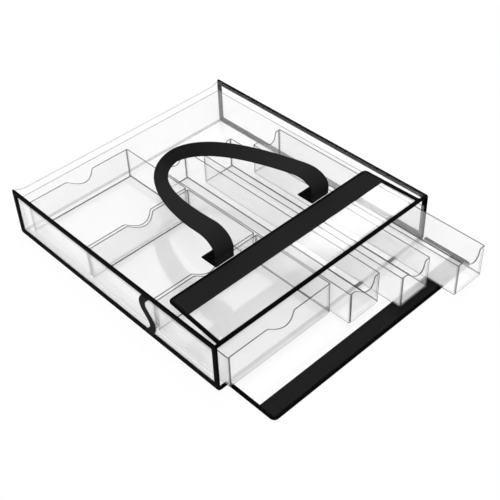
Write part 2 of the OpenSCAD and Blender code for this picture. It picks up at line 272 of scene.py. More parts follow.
wrap_rows = [
    [
        Vector((x, y, z + fold_drop(x, y, z) + (top_sag(x, y) if i <= TOP_STEPS else 0)))
        for x in wrap_across
    ]
    for i, (y, z) in enumerate(wrap_profile)
]
upper_fold = range(TOP_STEPS, TOP_STEPS + FOLD_STEPS)
lower_start = TOP_STEPS + FOLD_STEPS + BACK_STEPS
lower_fold = range(lower_start, lower_start + FOLD_STEPS)
# The rows round both folds take that darker finish, as painted shade.
sheet("wrap", wrap_rows, [wrap_vinyl, vinyl_edge_shade], "case", "clear_vinyl", "wrap_sheet",
      tint=lambda a, b: int(a in upper_fold or a in lower_fold))

# Side panels: the two clear vinyl ends of the case, cut flat and sewn into their tape.
# They have no frame, so they stand very slightly bowed.
PANEL_BOW = 0.25 * MM
PANEL_WAVES = 30
PANEL_STEPS = 40
PANEL_RISE_STEPS = 8
for side in ("left", "right"):
    low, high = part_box(f"side_panel_{side}")
    middle = (low + high) / 2
    outward = 1 if middle.x > 0 else -1
    panel_rows = [
        [
            Vector((middle.x + outward * PANEL_BOW * noise.noise(Vector((0, y, z)) * PANEL_WAVES), y, z))
            for z in spread(low.z, high.z, PANEL_RISE_STEPS)
        ]
        for y in spread(low.y, high.y, PANEL_STEPS)
    ]
    sheet(f"end_{side}", panel_rows, [vinyl, vinyl_edge_shade], "case", "clear_vinyl", f"side_panel_{side}")

# Side bindings: black ribbed tape folded over all four edges of each end, and sewn through both layers.
# The tape has a round nose, and the thread draws a shallow groove along its inner edge.
# Tones of a cloth come in pairs: in the valleys of its weave, where it is darker as painted shade, and on the
# crests.
TAPE_TONES = (0.0003, 0.00096)
TAPE_RIB = 0.9 * MM
SIDE_TAPE_W = 7 * MM
CORNER_R = 2.4 * MM
INNER_CORNER_R = 1.2 * MM
CORNER_STEPS = 6
GROOVE_IN = 1.1 * MM
GROOVE_DEPTH = 0.18 * MM
BEFORE_GROOVE = 0.98
PAST_GROOVE = 0.92
TAPE_LIP = 0.6
THREAD_TONES = (0.004, 0.02)
THREAD = 0.5 * MM
STITCH = 2.3 * MM
STITCH_PITCH = 3.4 * MM
STITCH_BELLY = 0.3
FLUFF_SCALE = 900
FLUFF_SHARE = 0.25
VALLEY_ROUGHNESS = 0.15
WEAVE_STRENGTH = 0.6
half_tape = (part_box("side_binding_right")[1].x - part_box("side_binding_right")[0].x) / 2


def cloth(name, tones, height, roughness, depth, shine):
    """A dark woven finish. height is a function of the shader and of the place along and across it."""
    finish, shade = new_finish(name)
    place = shade.node("ShaderNodeUVMap")
    along, across = (shade.node("ShaderNodeSeparateXYZ", None, {0: place}, axis) for axis in "XY")
    weave = height(shade, along, across)
    fluff = shade.node("ShaderNodeTexNoise", None, {
        "Vector": shade.node("ShaderNodeTexCoord", output="Object"), "Scale": FLUFF_SCALE, "Detail": 2,
    })
    mixed = (1 - FLUFF_SHARE) * weave + FLUFF_SHARE * fluff
    # The tone follows the weave's height, so the valleys are darker as painted shade, and a random fuzz of
    # fibre tone is mixed in.
    stops = [(0, grey(tones[0])), (1, grey(tones[1]))]
    tone = shade.node("ShaderNodeValToRGB", {"stops": stops}, {0: mixed})
    normal = shade.node("ShaderNodeBump", None, {
        "Height": mixed, "Strength": WEAVE_STRENGTH, "Distance": depth,
    })
    surface = shade.node("ShaderNodeBsdfPrincipled", None, {
        "Base Color": tone, "Roughness": roughness + VALLEY_ROUGHNESS * (1 - mixed), "Normal": normal,
        "Specular IOR Level": shine,
    })
    shade.node("ShaderNodeOutputMaterial", None, {"Surface": surface})
    return finish


def ridges(shade, place, pitch, shift=0):
    """Rounded ridges one pitch apart, from 0 in the valleys to 1 on the crests."""
    turn = place * (2 * math.pi / pitch) + shift
    return 0.5 + 0.5 * shade.math("SINE", turn, 0)


def tape_ribs(shade, along, across):
    return ridges(shade, along, TAPE_RIB)


def skin(name, rows, finishes, body, slot, *stands_for,
         joined=False, tint=None, last_cap=0, crease=40, mirror=None):
    """A closed mesh over rows of points. Each row is a loop, and rows not joined end to end are capped.
    With mirror, a cap is a run of strips from each point to its partner, mirror less its own number."""
    size = len(rows[0])
    count = len(rows)
    runs = count if joined else count - 1
    points = [point for row in rows for point in row]
    cells = [(a, b) for a in range(runs) for b in range(size)]
    faces = [
        (a * size + b, a * size + (b + 1) % size,
         (a + 1) % count * size + (b + 1) % size, (a + 1) % count * size + b)
        for a, b in cells
    ]

    def cap(first):
        if mirror is None:
            return [tuple(range(first, first + size))]
        half = [(mirror + 1 + size) // 2 + k for k in range(size // 2)]
        strips = [(a, b, mirror - b, mirror - a) for a, b in zip(half, half[1:])]
        return [tuple(first + i % size for i in strip) for strip in strips]

    closing = [] if joined else cap(len(points) - size)
    if not joined:
        faces += cap(0) + closing
    mesh = bpy.data.meshes.new(name)
    mesh.from_pydata(points, [], faces)
    lengths = [0.0]
    for a in range(runs):
        lengths.append(lengths[-1] + (rows[(a + 1) % count][0] - rows[a][0]).length)
    widths = [0.0]
    for b in range(size):
        widths.append(widths[-1] + (rows[0][(b + 1) % size] - rows[0][b]).length)
    places = []
    for a, b in cells:
        places += [(lengths[a], widths[b]), (lengths[a], widths[b + 1])]
        places += [(lengths[a + 1], widths[b + 1]), (lengths[a + 1], widths[b])]
    layer = mesh.uv_layers.new(name="cloth")
    for spot, place in zip(layer.data, places):
        spot.uv = place
    if tint:
        for face, (a, b) in zip(mesh.polygons, cells):
            face.material_index = tint(a, b)
    for face in list(mesh.polygons)[len(faces) - len(closing):]:
        face.material_index = last_cap
    work = bmesh.new()
    work.from_mesh(mesh)
    bmesh.ops.recalc_face_normals(work, faces=work.faces)
    work.to_mesh(mesh)
    work.free()
    mesh.shade_smooth()
    mesh.set_sharp_from_angle(angle=math.radians(crease))
    return link(name, mesh, finishes, body, stands_for)


def tape_section(width):
    """Folded tape cut across, inward from its nose and up from its middle. It starts at the nose."""
    groove = width - GROOVE_IN
    face = arc(half_tape, 0, half_tape, 135, 105, 1) + [
        (half_tape, half_tape),
        (groove - GROOVE_IN / 2, half_tape * BEFORE_GROOVE),
        (groove, half_tape - GROOVE_DEPTH),
        (width - GROOVE_IN / 3, half_tape * PAST_GROOVE),
        (width, half_tape * TAPE_LIP),
    ]
    under = [(inward, -up) for inward, up in reversed(face)]
    return arc(half_tape, 0, half_tape, 210, 150, 2) + face + under


def loop_outline(low, high, inset, radius):
    """A rectangle with round corners in the plane of an end, drawn in from its edges, as (y, z) points."""
    y0, y1 = low.y + inset + radius, high.y - inset - radius
    z0, z1 = low.z + inset + radius, high.z - inset - radius
    outline = []
    for y, z, start in ((y0, z0, 180), (y1, z0, 270), (y1, z1, 0), (y0, z1, 90)):
        outline += arc(y, z, radius, start, start + 90, CORNER_STEPS)
    return outline


def walk(points, pitch):
    """Places one pitch apart along a line of points, each with the heading of the line there."""
    spent = pitch / 2
    for start, stop in zip(points, points[1:]):
        length = (stop - start).length
        while spent < length:
            yield start.lerp(stop, spent / length), (stop - start).normalized()
            spent += pitch
        spent -= length


def stitching(name, lines, body):
    """Rows of separate thread stitches. Each line is its points and the way up from the cloth."""
    points, faces = [], []
    for line, up in lines:
        rise = up * THREAD / 2
        for place, ahead in walk(line, STITCH_PITCH):
            aside = ahead.cross(up).normalized() * THREAD / 2
            base = len(points)
            points.append(place - ahead * STITCH / 2)
            for share in (-STITCH_BELLY, STITCH_BELLY):
                middle = place + ahead * STITCH * share
                points += [middle + aside, middle + rise, middle - aside, middle - rise]
            points.append(place + ahead * STITCH / 2)
            tip = len(points) - 1
            for k in range(4):
                this, after = base + 1 + k, base + 1 + (k + 1) % 4
                faces.append((base, after, this))
                faces.append((this, after, after + 4, this + 4))
                faces.append((this + 4, after + 4, tip))
    mesh = bpy.data.meshes.new(name)
    mesh.from_pydata(points, [], faces)
    mesh.uv_layers.new(name="cloth")
    mesh.shade_smooth()
    link(name, mesh, [thread], body, ())


tape = cloth("binding_tape", TAPE_TONES, tape_ribs, roughness=0.6, depth=0.15 * MM, shine=0.03)
thread = cloth("sewing_thread", THREAD_TONES, tape_ribs, roughness=0.55, depth=0.1 * MM, shine=0.2)
for side in ("left", "right"):
    low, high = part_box(f"side_binding_{side}")
    middle_x = (low.x + high.x) / 2
    loops = []
    for inward, up in tape_section(SIDE_TAPE_W):
        corner_r = CORNER_R + (INNER_CORNER_R - CORNER_R) * inward / SIDE_TAPE_W
        loops.append([Vector((middle_x + up, y, z)) for y, z in loop_outline(low, high, inward, corner_r)])
    skin(f"end_tape_{side}", list(zip(*loops)), [tape], "case", "binding_tape",
         f"side_binding_{side}", joined=True)
    seam_line = loop_outline(low, high, SIDE_TAPE_W - GROOVE_IN, INNER_CORNER_R)
    seams = []
    for facing in (-1, 1):
        face_x = middle_x + facing * (half_tape - GROOVE_DEPTH)
        seam = [Vector((face_x, y, z)) for y, z in seam_line + seam_line[:1]]
        seams.append((seam, Vector((facing, 0, 0))))
    stitching(f"end_stitching_{side}", seams, "case")

# Front bindings: the same black tape, folded narrower over the wrap's two front edges and sewn through.
# Each runs straight between the ends, where it is caught under their tape.
FRONT_STEPS = 24
for edge in ("top", "bottom"):
    low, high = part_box(f"front_{edge}_binding")
    middle_z = high.z - half_tape
    width = high.y - low.y
    rows = [
        [Vector((x, low.y + inward, middle_z + up)) for inward, up in tape_section(width)]
        for x in spread(low.x, high.x, FRONT_STEPS)
    ]
    skin(f"front_{edge}_tape", rows, [tape], "case", "binding_tape", f"front_{edge}_binding")
    seam_y = low.y + width - GROOVE_IN
    seams = []
    for facing in (-1, 1):
        seam_z = middle_z + facing * (half_tape - GROOVE_DEPTH)
        seam = [Vector((x, seam_y, seam_z)) for x in (low.x, high.x)]
        seams.append((seam, Vector((0, 0, facing))))
    stitching(f"front_{edge}_stitching", seams, "case")

# Liner: the rigid clear tray that keeps the soft case in shape, moulded in one piece.
# It has a floor, two sides and a back. Its edges are painted dark: painted shade for the light caught in the
# plastic there.
LINER_TONE = 0.97
LINER_HAZE = 0.1
EDGE_SHADE_TONE = 0.03
EDGE_SHADE_HAZE = 0.85
CHAMFER = 0.42 * MM
LINER_T = 2 * MM
LINER_CORNER_R = 3 * MM
LINER_TURN = 15
LINER_TURN_STEPS = 4
LINER_FLOOR_FRONT = -169.9 * MM
LINER_FLOOR_T = 2.6 * MM
liner_low, liner_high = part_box("liner_box")
liner_plastic = clear_plastic(
    "liner_plastic", LINER_TONE, LINER_HAZE, roughness=0.1, gloss=0.8, ripple=0.04
)
# Edges of clear plastic get a dark, nearly opaque finish: painted shade for the light caught in them.
plastic_edge_shade = clear_plastic("plastic_edge_shade", EDGE_SHADE_TONE, EDGE_SHADE_HAZE, roughness=0.2, gloss=0.6)
liner_h = liner_high.z - liner_low.z
wall_section = [
    (CHAMFER, 0), (LINER_T - CHAMFER, 0), (LINER_T, CHAMFER), (LINER_T, liner_h - CHAMFER),
    (LINER_T - CHAMFER, liner_h), (CHAMFER, liner_h), (0, liner_h - CHAMFER), (0, CHAMFER),
]
back_y = liner_high.y - LINER_CORNER_R
corner_x = liner_high.x - LINER_CORNER_R
liner_path = [((-liner_high.x, liner_low.y), (-1, 0)), ((-liner_high.x, back_y), (-1, 0))]
for centre_x, start in ((-corner_x, 180), (corner_x, 90)):
    for turn in spread(start - LINER_TURN, start - 90 + LINER_TURN, LINER_TURN_STEPS):
        out_x = math.cos(math.radians(turn))
        out_y = math.sin(math.radians(turn))
        spot = (centre_x + LINER_CORNER_R * out_x, back_y + LINER_CORNER_R * out_y)
        liner_path.append((spot, (out_x, out_y)))
liner_path += [((liner_high.x, back_y), (1, 0)), ((liner_high.x, liner_low.y), (1, 0))]
liner_rows = [
    [Vector((x - out_x * across, y - out_y * across, liner_low.z + up)) for across, up in wall_section]
    for (x, y), (out_x, out_y) in liner_path
]
# Every other face round the wall's section is a chamfer, and takes the painted shade of the edges.
skin("liner_walls", liner_rows, [liner_plastic, plastic_edge_shade], "case", "liner_plastic", "liner_box",
     tint=lambda a, b: b % 2, crease=30)
inner_x = liner_high.x - LINER_T
floor_section = [(-inner_x, 0), (inner_x, 0), (inner_x, LINER_FLOOR_T), (-inner_x, LINER_FLOOR_T)]
floor_rows = [
    [Vector((x, y, liner_low.z + up)) for x, up in floor_section]
    for y in (LINER_FLOOR_FRONT, liner_high.y - LINER_T)
]
skin("liner_floor", floor_rows, [liner_plastic], "case", "liner_plastic", crease=30)

# Trays and drawers: open boxes moulded in clear plastic, three wide and three long and narrow.
# The front and back walls have a finger scoop: a round hollow that runs over into a round shoulder each side.
# The boxes lie loose on the liner's floor and slide out at the front.
BOX_TONE = 0.97
BOX_HAZE = 0.14
FLOOR_TINT = 0.83
FLOOR_HAZE = 0.58
CORNER_SHADE_TONE = 0.25
CORNER_SHADE_HAZE = 0.3
BOX_T = 1.6 * MM
BOX_CORNER_R = 2 * MM
CORNER_TURNS = (0, 12, 34, 56, 78)
BOTTOM_R = 1 * MM
BOTTOM_EASE = 0.3
FLOOR_CHAMFER = 0.6 * MM
LINE_W = 0.7 * MM
SCOOP_DEPTH = 14 * MM
SCOOP_SHOULDER = 2.2 * MM
SCOOP_LEAN = 0.47
HOLLOW_STEPS = 14
SHOULDER_STEPS = 6
WIDE_SCOOP_W = 41 * MM
NARROW_SCOOP_W = 34 * MM
WALL, EDGE, CORNER, FLOOR = range(4)
OUTER_WALL_ROW = 3
INNER_WALL_ROW = 7


def scoop_edge(width):
    """A scoop's edge from its left shoulder to its right one, as (across, up) points."""
    corner = width / 2 - SCOOP_SHOULDER
    tip = corner - SCOOP_SHOULDER
    tip_z = -SCOOP_DEPTH * (1 - (tip / corner) ** 2)
    turn_x = tip - tip_z * corner ** 2 / (2 * SCOOP_DEPTH * tip)
    half = [(x, -SCOOP_DEPTH * (1 - (x / corner) ** 2)) for x in spread(0, tip, HOLLOW_STEPS)]
    for share in spread(0, 1, SHOULDER_STEPS)[1:]:
        rest = 1 - share
        x = rest * rest * tip + 2 * rest * share * turn_x + share * share * width / 2
        half.append((x, rest * rest * tip_z))
    whole = [(-x, z) for x, z in reversed(half)] + half[1:]
    return [(x - SCOOP_LEAN * z, z) for x, z in whole]


def box_rim(low, high, scoop_w):
    """The rim all round: each point, the ways out of the box and into the wall, the finish after it."""
    centre_x = (low.x + high.x) / 2
    ends = (high.x - low.x) / 2 - BOX_CORNER_R
    wall = [(-ends, 0), (LINE_W - ends, 0), *scoop_edge(scoop_w), (ends - LINE_W, 0), (ends, 0)]
    wall_marks = [EDGE] + [WALL] * (len(wall) - 3) + [EDGE, EDGE]
    leaving = list(zip([-turn for turn in reversed(CORNER_TURNS)], (EDGE, CORNER, CORNER, CORNER, WALL)))
    coming = list(zip(CORNER_TURNS, (CORNER, CORNER, CORNER, EDGE, EDGE)))
    found = []
    for facing in (-1, 1):
        run = []
        for i, (x, z) in enumerate(wall):
            (x0, z0), (x1, z1) = wall[max(i - 1, 0)], wall[min(i + 1, len(wall) - 1)]
            into = Vector((z1 - z0, 0, x0 - x1)).normalized()
            wall_y = low.y if facing < 0 else high.y
            run.append((Vector((centre_x + x, wall_y, high.z + z)), Vector((0, facing, 0)), into))
        if facing > 0:
            run.reverse()
        found += [(*spot, mark) for spot, mark in zip(run, wall_marks)]
        for end, turns in ((facing, leaving), (-facing, coming)):
            corner_y = low.y + BOX_CORNER_R if end < 0 else high.y - BOX_CORNER_R
            corner = Vector((centre_x - facing * ends, corner_y, high.z))
            for turn, mark in turns:
                angle = math.radians(turn)
                out = Vector((math.cos(angle), math.sin(angle), 0)) * -facing
                found.append((corner + BOX_CORNER_R * out, out, Vector((0, 0, -1)), mark))
    return found


def open_box(name, node, scoop_w, body):
    """A thin-walled open box in its node's place. Its rows run up the outside, over the rim and down."""
    low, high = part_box(node)
    rim = box_rim(low, high, scoop_w)

    def row(inward, up=None, down=0):
        placed = []
        for point, out, into, _ in rim:
            spot = point - out * inward + into * down
            if up is not None:
                spot.z = up
            placed.append(spot)
        return placed

    eased = BOTTOM_R * BOTTOM_EASE
    floor_z = low.z + BOX_T
    rows = [
        row(BOTTOM_R, low.z), row(eased, low.z + eased), row(0, low.z + BOTTOM_R),
        row(0, low.z + BOTTOM_R + LINE_W), row(0, down=CHAMFER), row(CHAMFER),
        row(BOX_T - CHAMFER), row(BOX_T, down=CHAMFER),
        row(BOX_T, floor_z + FLOOR_CHAMFER), row(BOX_T + FLOOR_CHAMFER, floor_z),
    ]

    # Every row but the two walls takes the painted shade of edges; along the walls each point's mark picks
    # plain wall, edge shade or corner shade.
    def tint(a, b):
        return rim[b][3] if a in (OUTER_WALL_ROW, INNER_WALL_ROW) else EDGE

    skin(name, rows, [box_plastic, plastic_edge_shade, box_corner_shade, box_floor], body, "tray_plastic", node,
         tint=tint, last_cap=FLOOR, crease=20, mirror=len(rim) - 1 - 2 * len(CORNER_TURNS))


box_plastic = clear_plastic("tray_plastic", BOX_TONE, BOX_HAZE, roughness=0.1, gloss=0.8)
# The round upright corners of the boxes get a grey finish: painted shade for how such corners look in clear
# plastic.
box_corner_shade = clear_plastic("tray_corner_shade", CORNER_SHADE_TONE, CORNER_SHADE_HAZE, roughness=0.15, gloss=0.8)
box_floor = clear_plastic("tray_floor", FLOOR_TINT, FLOOR_HAZE, roughness=0.3, gloss=0.6)
for place in ("front", "middle", "rear"):
    open_box(f"wide_tray_{place}", f"tray_{place}", WIDE_SCOOP_W, f"{place}_tray")
for lane in ("left", "centre", "right"):
    open_box(f"long_drawer_{lane}", f"drawer_{lane}", NARROW_SCOOP_W, f"{lane}_drawer")

# Closing flaps: two clear vinyl flaps, each bound with tape on three sides and hemmed where it is sewn on.
# Hook tape is sewn along the upper flap's free edge, and loop tape along the lower one's.
FLAP_TAPE_W = 4.5 * MM
FLAP_CORNER_R = 6 * MM
LEAST_R = 1 * MM
HEM_W = 2 * MM
UPPER_LENGTH = 78.3 * MM
UPPER_LIFT = 1.6 * MM
UPPER_DRAW = 3.5 * MM
LOWER_LENGTH = 64.8 * MM
HOOK_W = 25 * MM
LOOP_W = 20 * MM
STRIP_TONES = (0.004675, 0.010625)
TUFT_SCALE = 1100
STRIP_SEAM_IN = 1.5 * MM
STRIP_TUCK = 0.6 * MM
STRIP_BEVEL = 0.35 * MM
FLAP_OUT_STEPS = 14
FLAP_ROUND_TURNS = (20, 40, 60, 80)
FLAP_ACROSS_STEPS = 40
FLAP_SIDE_STEPS = 10
FLAP_CORNER_STEPS = 8
FLAP_EDGE_STEPS = 30
STRIP_STEPS = 60
joints = {joint["name"]: Vector(joint["pos_m"]) for joint in frame["joints"] if "pos_m" in joint}
folded_hem = [(inward - half_tape, up) for inward, up in tape_section(HEM_W + half_tape)]
rolled_hem = arc(0, 0, half_tape, 0, 330, 11)
upper_low, upper_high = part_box("top_flap_binding")
lower_low, lower_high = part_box("front_flap_binding")
upper_tilt = math.asin(UPPER_LIFT / UPPER_LENGTH)


class Flap:
    """A flap measured across, out from its hinge line and up. place() takes such a point to the case."""

    def __init__(self, hinge, shift, length, root, free, tilt, forward):
        self.hinge = Vector((shift, hinge.y, hinge.z))
        self.length = length
        self.root = root
        self.free = free
        self.tilt = tilt
        self.forward = forward

    def place(self, across, out, up):
        y = out * math.cos(self.tilt) - up * math.sin(self.tilt)
        z = out * math.sin(self.tilt) + up * math.cos(self.tilt)
        return self.hinge + Vector((across, self.forward * y, z))

    def up(self):
        return Vector((0, -self.forward * math.sin(self.tilt), math.cos(self.tilt)))

    def straight_width(self, out):
        return self.root - (self.root - self.free) * out / self.length

    def half_width(self, out, inset):
        """Half the width at a distance from the hinge line, drawn in by an inset, round corners included."""
        straight = self.straight_width(out) - inset
        radius = max(FLAP_CORNER_R - inset, LEAST_R)
        past = out - (self.length - inset - radius)
        return straight - (radius - math.sqrt(max(0, radius * radius - past * past)) if past > 0 else 0)

    def edge(self, inset):
        """The three free sides drawn in from the edge, from one end of the hinge line to the other."""
        radius = max(FLAP_CORNER_R - inset, LEAST_R)
        bend = self.length - inset - radius
        right = [(self.half_width(out, inset), out) for out in spread(0, bend, FLAP_SIDE_STEPS)]
        centre = self.straight_width(bend) - inset - radius
        right += arc(centre, bend, radius, 0, 90, FLAP_CORNER_STEPS)[1:]
        across = [(x, self.length - inset) for x in spread(centre, -centre, FLAP_EDGE_STEPS)[1:-1]]
        return right + across + [(-x, out) for x, out in reversed(right)]


def nap(shade, along, across):
    """Close short pile."""
    place = shade.node("ShaderNodeTexCoord", output="Object")
    tufts = shade.node("ShaderNodeTexVoronoi", None, {"Vector": place, "Scale": TUFT_SCALE})
    return 1 - tufts


def dress_flap(name, flap, nodes, strip_w, hem, hem_finish, hem_slot):
    """The sheet, tape, hem, strip and stitches of one flap. nodes names its sheet, tape and strip."""
    sheet_node, tape_node, strip_node = nodes
    round_from = flap.length - half_tape - FLAP_CORNER_R
    outs = spread(0, round_from, FLAP_OUT_STEPS)
    outs += [round_from + FLAP_CORNER_R * math.sin(math.radians(turn)) for turn in FLAP_ROUND_TURNS]
    rows = []
    for out in outs:
        half = flap.half_width(out, half_tape)
        rows.append([flap.place(x, out, 0) for x in spread(-half, half, FLAP_ACROSS_STEPS)])
    sheet(f"{name}_sheet", rows, [vinyl, vinyl_edge_shade], name, "clear_vinyl", sheet_node)
    loops = [
        [flap.place(x, out, up) for x, out in flap.edge(inward)]
        for inward, up in tape_section(FLAP_TAPE_W)
    ]
    skin(f"{name}_tape", list(zip(*loops)), [tape], name, "binding_tape", tape_node)
    hem_rows = [
        [flap.place(x, out, up) for out, up in hem]
        for x in spread(-flap.root, flap.root, FLAP_EDGE_STEPS)
    ]
    skin(f"{name}_hem", hem_rows, [hem_finish], name, hem_slot)
    tucked = FLAP_TAPE_W - STRIP_TUCK
    far = flap.length - tucked
    near = flap.length - FLAP_TAPE_W - strip_w
    strip_section = [
        (near, SHEET / 2), (near, half_tape - STRIP_BEVEL), (near + STRIP_BEVEL, half_tape),
        (far - STRIP_BEVEL, half_tape), (far, half_tape - STRIP_BEVEL), (far, SHEET / 2),
    ]
    strip_rows = [
        [flap.place(share * (flap.straight_width(out) - tucked), out, up) for out, up in strip_section]
        for share in spread(-1, 1, STRIP_STEPS)
    ]
    skin(f"{name}_strip", strip_rows, [strip_cloth], name, "hook_and_loop", strip_node)
    outs = (near + STRIP_SEAM_IN, far - STRIP_TUCK - STRIP_SEAM_IN)
    ends = [flap.straight_width(out) - FLAP_TAPE_W - STRIP_SEAM_IN for out in outs]
    box = [(-ends[0], outs[0]), (ends[0], outs[0]), (ends[1], outs[1]), (-ends[1], outs[1])]
    seams = [([flap.place(x, out, half_tape) for x, out in box + box[:1]], flap.up())]
    for facing in (-1, 1):
        height = facing * (half_tape - GROOVE_DEPTH)
        seam = [flap.place(x, out, height) for x, out in flap.edge(FLAP_TAPE_W - GROOVE_IN)]
        seams.append((seam, flap.up() * facing))
    stitching(f"{name}_stitching", seams, name)


strip_cloth = cloth("hook_and_loop", STRIP_TONES, nap, roughness=0.75, depth=0.25 * MM, shine=0.1)
upper_half = (upper_high.x - upper_low.x) / 2
upper_x = (upper_high.x + upper_low.x) / 2
upper_free = upper_half - UPPER_DRAW
upper = Flap(joints["upper_flap_turn"], upper_x, UPPER_LENGTH, upper_half, upper_free, upper_tilt, 1)
lower_half = (lower_high.x - lower_low.x) / 2
lower_x = (lower_high.x + lower_low.x) / 2
lower = Flap(joints["lower_flap_turn"], lower_x, LOWER_LENGTH, lower_half, lower_half, 0, -1)
dress_flap("upper_flap", upper, ("top_flap", "top_flap_binding", "hook_strip"), HOOK_W,
           folded_hem, tape, "binding_tape")
dress_flap("lower_flap", lower, ("front_flap", "front_flap_binding", "loop_strip"), LOOP_W,
           rolled_hem, vinyl, "clear_vinyl")

# Handle: one length of dark webbing. Each end is sewn flat on the top sheet and turned up at its front.
# The loop lies back over the case, twists onto its edge and draws in at the grip.
STRAP_W = 25 * MM
GRIP_W = 16 * MM
STRAP_T = 1.5 * MM
STRAP_EDGE = 0.5 * MM
TAB_LENGTH = 24 * MM
TURN_R = 2.2 * MM
LEG_STAND = 14 * MM
LEG_LEAN = 3 * MM
CURL_REACH = 32.7 * MM
CURL_RISE = 21 * MM
LEG_DRAW = 3.5 * MM
LEG_RUN = 46.7 * MM
LEG_FALL = 8 * MM
HANDLE_REACH = 163.5 * MM
GRIP_RISE = 8 * MM
GRIP_BOW = 52 * MM
GRIP_SAG = 5 * MM
GRIP_TWIST = 65
WEBBING_TONES = (0.0041, 0.01066)
TAB_SHADE_TONES = (0.00075, 0.00225)
WEB_RIB = 1.6 * MM
WEB_PICK = 1.3 * MM
RIB_SHARE = 0.55
TAB_STEPS = 12
TURN_STEPS = 6
STAND_STEPS = 4
CURL_STEPS = 20
LEG_STEPS = 60
BOX_SEAM_IN = 2.5 * MM
SEAM_RISE = 0.46
UP = Vector((0, 0, 1))
SIDEWAYS = Vector((1, 0, 0))
bend = joints["handle_lift"]
tab_low, tab_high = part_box("handle_tab_right")
leg_x = (tab_low.x + tab_high.x) / 2


def webbing_weave(shade, along, across):
    """Ribs along the webbing whose picks step by half from one rib to the next."""
    rib = ridges(shade, across, WEB_RIB)
    step = shade.math("FLOOR", across * (1 / WEB_RIB), 0) * math.pi
    pick = ridges(shade, along, WEB_PICK, step)
    return RIB_SHARE * rib + (1 - RIB_SHARE) * pick


def curve_point(guides, share):
    rest = 1 - share
    near = rest ** 3 * guides[0] + 3 * share * rest * rest * guides[1]
    return near + 3 * share * share * rest * guides[2] + share ** 3 * guides[3]


def curve_heading(guides, share):
    rest = 1 - share
    steps = [after - before for before, after in zip(guides, guides[1:])]
    return (rest * rest * steps[0] + 2 * share * rest * steps[1] + share * share * steps[2]).normalized()


def strap_section(centre, across, face, width):
    """Webbing cut across, with thick round edges: a loop of points round the middle."""
    half, thick = width / 2, STRAP_T / 2
    outline = [
        (half, 0.55), (half - STRAP_EDGE * 0.4, 0.95), (half - STRAP_EDGE * 2, 1.0),
        (half - STRAP_EDGE * 5, 0.9), (0, 0.9),
    ]
    outline += [(-x, up) for x, up in reversed(outline[:-1])]
    upper_side = [centre + across * x + face * (up * thick) for x, up in outline]
    return upper_side + [centre + across * x - face * (up * thick) for x, up in reversed(outline)]


webbing = cloth("webbing", WEBBING_TONES, webbing_weave, roughness=0.7, depth=0.3 * MM, shine=0.1)
# A darker, duller copy of the webbing for the flat sewn tabs and their turn: painted shade.
shaded_webbing = cloth("shaded_webbing", TAB_SHADE_TONES, webbing_weave, roughness=0.7, depth=0.3 * MM, shine=0.03)
leg_heading = Vector((-LEG_DRAW, LEG_RUN, -LEG_FALL))
curl_end = Vector((leg_x - LEG_DRAW, CURL_REACH, CURL_RISE))
curl = [
    Vector((leg_x, 0, 0)), Vector((leg_x, -LEG_LEAN, LEG_STAND)),
    curl_end - leg_heading / 2, curl_end,
]
leg = [
    curl_end, curl_end + leg_heading,
    Vector((GRIP_BOW, HANDLE_REACH, GRIP_RISE - GRIP_SAG)), Vector((0, HANDLE_REACH, GRIP_RISE)),
]
lift = Vector((0, bend.y, bend.z))
sewn_z = tab_low.z + STRAP_T / 2
tab_end = bend.y + TAB_LENGTH - STRAP_T / 2
half_rows = []
for y in spread(tab_end, bend.y + TURN_R, TAB_STEPS):
    half_rows.append(strap_section(Vector((leg_x, y, sewn_z)), SIDEWAYS, UP, STRAP_W))
for turn in spread(-90, -180, TURN_STEPS)[1:]:
    out = Vector((0, math.cos(math.radians(turn)), math.sin(math.radians(turn))))
    centre = Vector((leg_x, bend.y + TURN_R, sewn_z + TURN_R)) + out * TURN_R
    half_rows.append(strap_section(centre, SIDEWAYS, -out, STRAP_W))
for z in spread(sewn_z + TURN_R, bend.z, STAND_STEPS)[1:-1]:
    half_rows.append(strap_section(Vector((leg_x, bend.y, z)), SIDEWAYS, Vector((0, 1, 0)), STRAP_W))
for share in spread(0, 1, CURL_STEPS)[:-1]:
    ahead = curve_heading(curl, share)
    across = (SIDEWAYS - ahead * ahead.x).normalized()
    half_rows.append(strap_section(lift + curve_point(curl, share), across, ahead.cross(across), STRAP_W))
for share in spread(0, 1, LEG_STEPS):
    ahead = curve_heading(leg, share)
    level = Vector((ahead.y, -ahead.x, 0)).normalized()
    twist = math.radians(GRIP_TWIST) * share * share
    across = level * math.cos(twist) + level.cross(ahead) * math.sin(twist)
    width = STRAP_W + (GRIP_W - STRAP_W) * ease(share)
    half_rows.append(strap_section(lift + curve_point(leg, share), across, ahead.cross(across), width))
strap_rows = half_rows + [[Vector((-p.x, p.y, p.z)) for p in row] for row in reversed(half_rows[:-1])]
sewn_rows = TAB_STEPS + TURN_STEPS // 2
last_sewn = len(strap_rows) - 1 - sewn_rows
# The rows of the flat tabs take the darker copy of the webbing, as painted shade.
handle = skin("carry_handle", strap_rows, [webbing, shaded_webbing], None, "webbing",
              "handle_strap", "handle_tab_left", "handle_tab_right",
              tint=lambda a, b: int(a < sewn_rows or a >= last_sewn), crease=60)
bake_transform(handle)
sewn_top = sewn_z + STRAP_T * SEAM_RISE
y0 = bend.y + TURN_R + BOX_SEAM_IN
y1 = tab_end - BOX_SEAM_IN
tab_seams = []
for side in (-1, 1):
    x0 = side * leg_x - STRAP_W / 2 + BOX_SEAM_IN
    x1 = side * leg_x + STRAP_W / 2 - BOX_SEAM_IN
    corners = [Vector((x, y, sewn_top)) for x, y in ((x0, y0), (x1, y0), (x1, y1), (x0, y1))]
    tab_seams.append((corners + corners[:1], UP))
    tab_seams += [(corners[k:k + 3:2], UP) for k in (0, 1)]
stitching("handle_stitching", tab_seams, "case")

